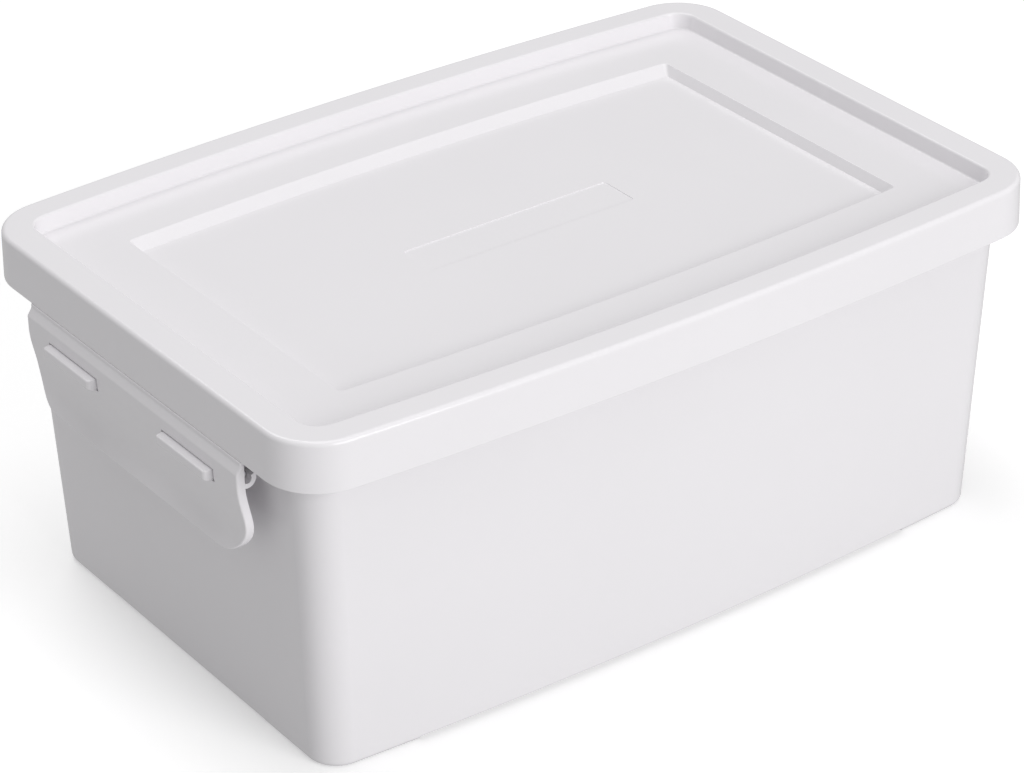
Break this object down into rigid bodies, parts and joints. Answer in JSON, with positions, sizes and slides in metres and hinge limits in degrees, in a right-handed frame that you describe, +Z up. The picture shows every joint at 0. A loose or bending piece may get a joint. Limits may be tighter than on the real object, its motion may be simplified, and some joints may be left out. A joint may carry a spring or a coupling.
{
  "type": "stacking storage crate with lid",
  "caption": "Rectangular stacking storage crate with drafted walls, a lift-off lid with a stepped recess, and a hinged clip on each end.",
  "frame": {"origin": "middle of the footprint, on the plane that the feet stand on", "axes": "+X along the length, towards the clip_right end; +Y across the width; +Z up"},
  "size_m": [0.4154, 0.2716, 0.172],
  "materials": {
    "white_plastic": "injection-moulded white polypropylene, softly glossy",
    "clip_plastic": "injection-moulded white polypropylene, a little less glossy than the lid"
  },
  "bodies": {
    "tub": {"tub": "white_plastic"},
    "lid": {"lid": "white_plastic"},
    "clip_left": {"clip_left": "clip_plastic"},
    "clip_right": {"clip_right": "clip_plastic"}
  },
  "joints": [
    {"name": "lid_lift", "type": "slide", "parent": "tub", "child": "lid", "axis": [0, 0, 1], "range_m": [0, 0.12]},
    {"name": "clip_left_hinge", "type": "hinge", "parent": "tub", "child": "clip_left", "pos_m": [-0.1986, 0, 0.1402], "axis": [0, 1, 0], "range_deg": [0, 95]},
    {"name": "clip_right_hinge", "type": "hinge", "parent": "tub", "child": "clip_right", "pos_m": [0.1986, 0, 0.1402], "axis": [0, -1, 0], "range_deg": [0, 95]}
  ]
}
